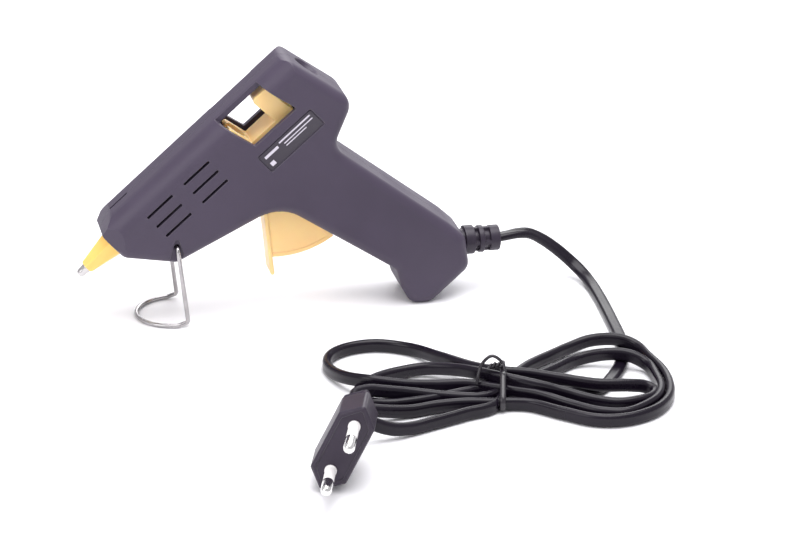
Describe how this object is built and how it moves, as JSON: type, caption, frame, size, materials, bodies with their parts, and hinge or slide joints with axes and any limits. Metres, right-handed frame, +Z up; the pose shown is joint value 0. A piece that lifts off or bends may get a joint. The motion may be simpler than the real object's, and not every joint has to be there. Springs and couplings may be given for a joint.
{
  "type": "hot melt glue gun",
  "caption": "Corded pistol-grip hot-melt glue gun standing on a folding wire stand, with pull trigger, open feed window, ribbed strain relief, tied mains flex and plug.",
  "frame": {"origin": "on the table, under the middle of the gun without its free cord", "axes": "+Z up, nozzle towards -X, strain relief towards +X, labelled left side towards -Y; the shells meet on the plane Y = 0"},
  "size_m": [0.211, 0.193, 0.105],
  "materials": {
    "shell_plastic": "fine spark-eroded grain, satin",
    "label_film": "smooth printed film, no text",
    "zinc_screw": "zinc plated",
    "tip_metal": "turned, slightly dulled by heat",
    "sleeve_rubber": "semi-gloss silicone rubber",
    "cast_aluminium": "die cast",
    "heater_ceramic": "sintered ceramic",
    "insulator_film": "amber film",
    "spring_steel": "plain spring steel",
    "feed_rubber": "matt silicone",
    "trigger_plastic": "smooth, slightly translucent",
    "wire_steel": "drawn and nickel plated wire",
    "relief_vinyl": "satin vinyl",
    "cord_vinyl": "glossy vinyl sheath",
    "tie_plastic": "smooth plastic tape over wire",
    "clamp_plastic": "plain",
    "lead_brown": "silicone insulation",
    "lead_blue": "silicone insulation",
    "crimp_tin": "tin plated",
    "plug_vinyl": "satin moulded vinyl",
    "pin_nickel": "bright nickel plate",
    "pin_sleeve_plastic": "plain white"
  },
  "bodies": {
    "housing": {"housing_left": "shell_plastic", "housing_right": "shell_plastic", "rating_label": "label_film", "housing_screw_1": "zinc_screw", "housing_screw_2": "zinc_screw", "housing_screw_3": "zinc_screw", "housing_screw_4": "zinc_screw", "housing_screw_5": "zinc_screw", "cord_clamp_screw_1": "zinc_screw", "cord_clamp_screw_2": "zinc_screw", "nozzle_tip": "tip_metal", "nozzle_sleeve": "sleeve_rubber", "melt_chamber": "cast_aluminium", "heater_plate": "heater_ceramic", "heater_insulator": "insulator_film", "heater_clamp": "spring_steel", "return_spring": "spring_steel", "trigger_pin": "spring_steel", "feed_sleeve": "feed_rubber", "strain_relief": "relief_vinyl", "cord_lead": "cord_vinyl", "cord_tail": "cord_vinyl", "cord_inner": "cord_vinyl", "cord_hank": "cord_vinyl", "cord_tie": "tie_plastic", "cord_clamp": "clamp_plastic", "lead_live": "lead_brown", "lead_neutral": "lead_blue", "crimp_live": "crimp_tin", "crimp_neutral": "crimp_tin", "plug_body": "plug_vinyl", "plug_pin_1": "pin_nickel", "plug_pin_2": "pin_nickel", "pin_sleeve_1": "pin_sleeve_plastic", "pin_sleeve_2": "pin_sleeve_plastic"},
    "stand": {"wire_stand": "wire_steel"},
    "trigger_lever": {"trigger": "trigger_plastic"},
    "carriage": {"feed_carriage": "trigger_plastic"}
  },
  "joints": [
    {"name": "stand_fold", "type": "hinge", "parent": "housing", "child": "stand", "pos_m": [-0.0477, 0, 0.0333], "axis": [0, -1, 0], "range_deg": [-25, 60]},
    {"name": "trigger_pull", "type": "hinge", "parent": "housing", "child": "trigger_lever", "pos_m": [-0.0062, 0, 0.06097], "axis": [0, -1, 0], "range_deg": [0, 22], "stiffness_Nm_per_rad": 0.05, "springref_deg": -11.46},
    {"name": "feed_slide", "type": "slide", "parent": "housing", "child": "carriage", "axis": [-0.749, 0, -0.6626], "range_m": [0, 0.0043], "deforming": ["return_spring"]}
  ],
  "couplings": [
    {"joint": "feed_slide", "follows": "trigger_pull", "m_per_rad": 0.0106}
  ]
}
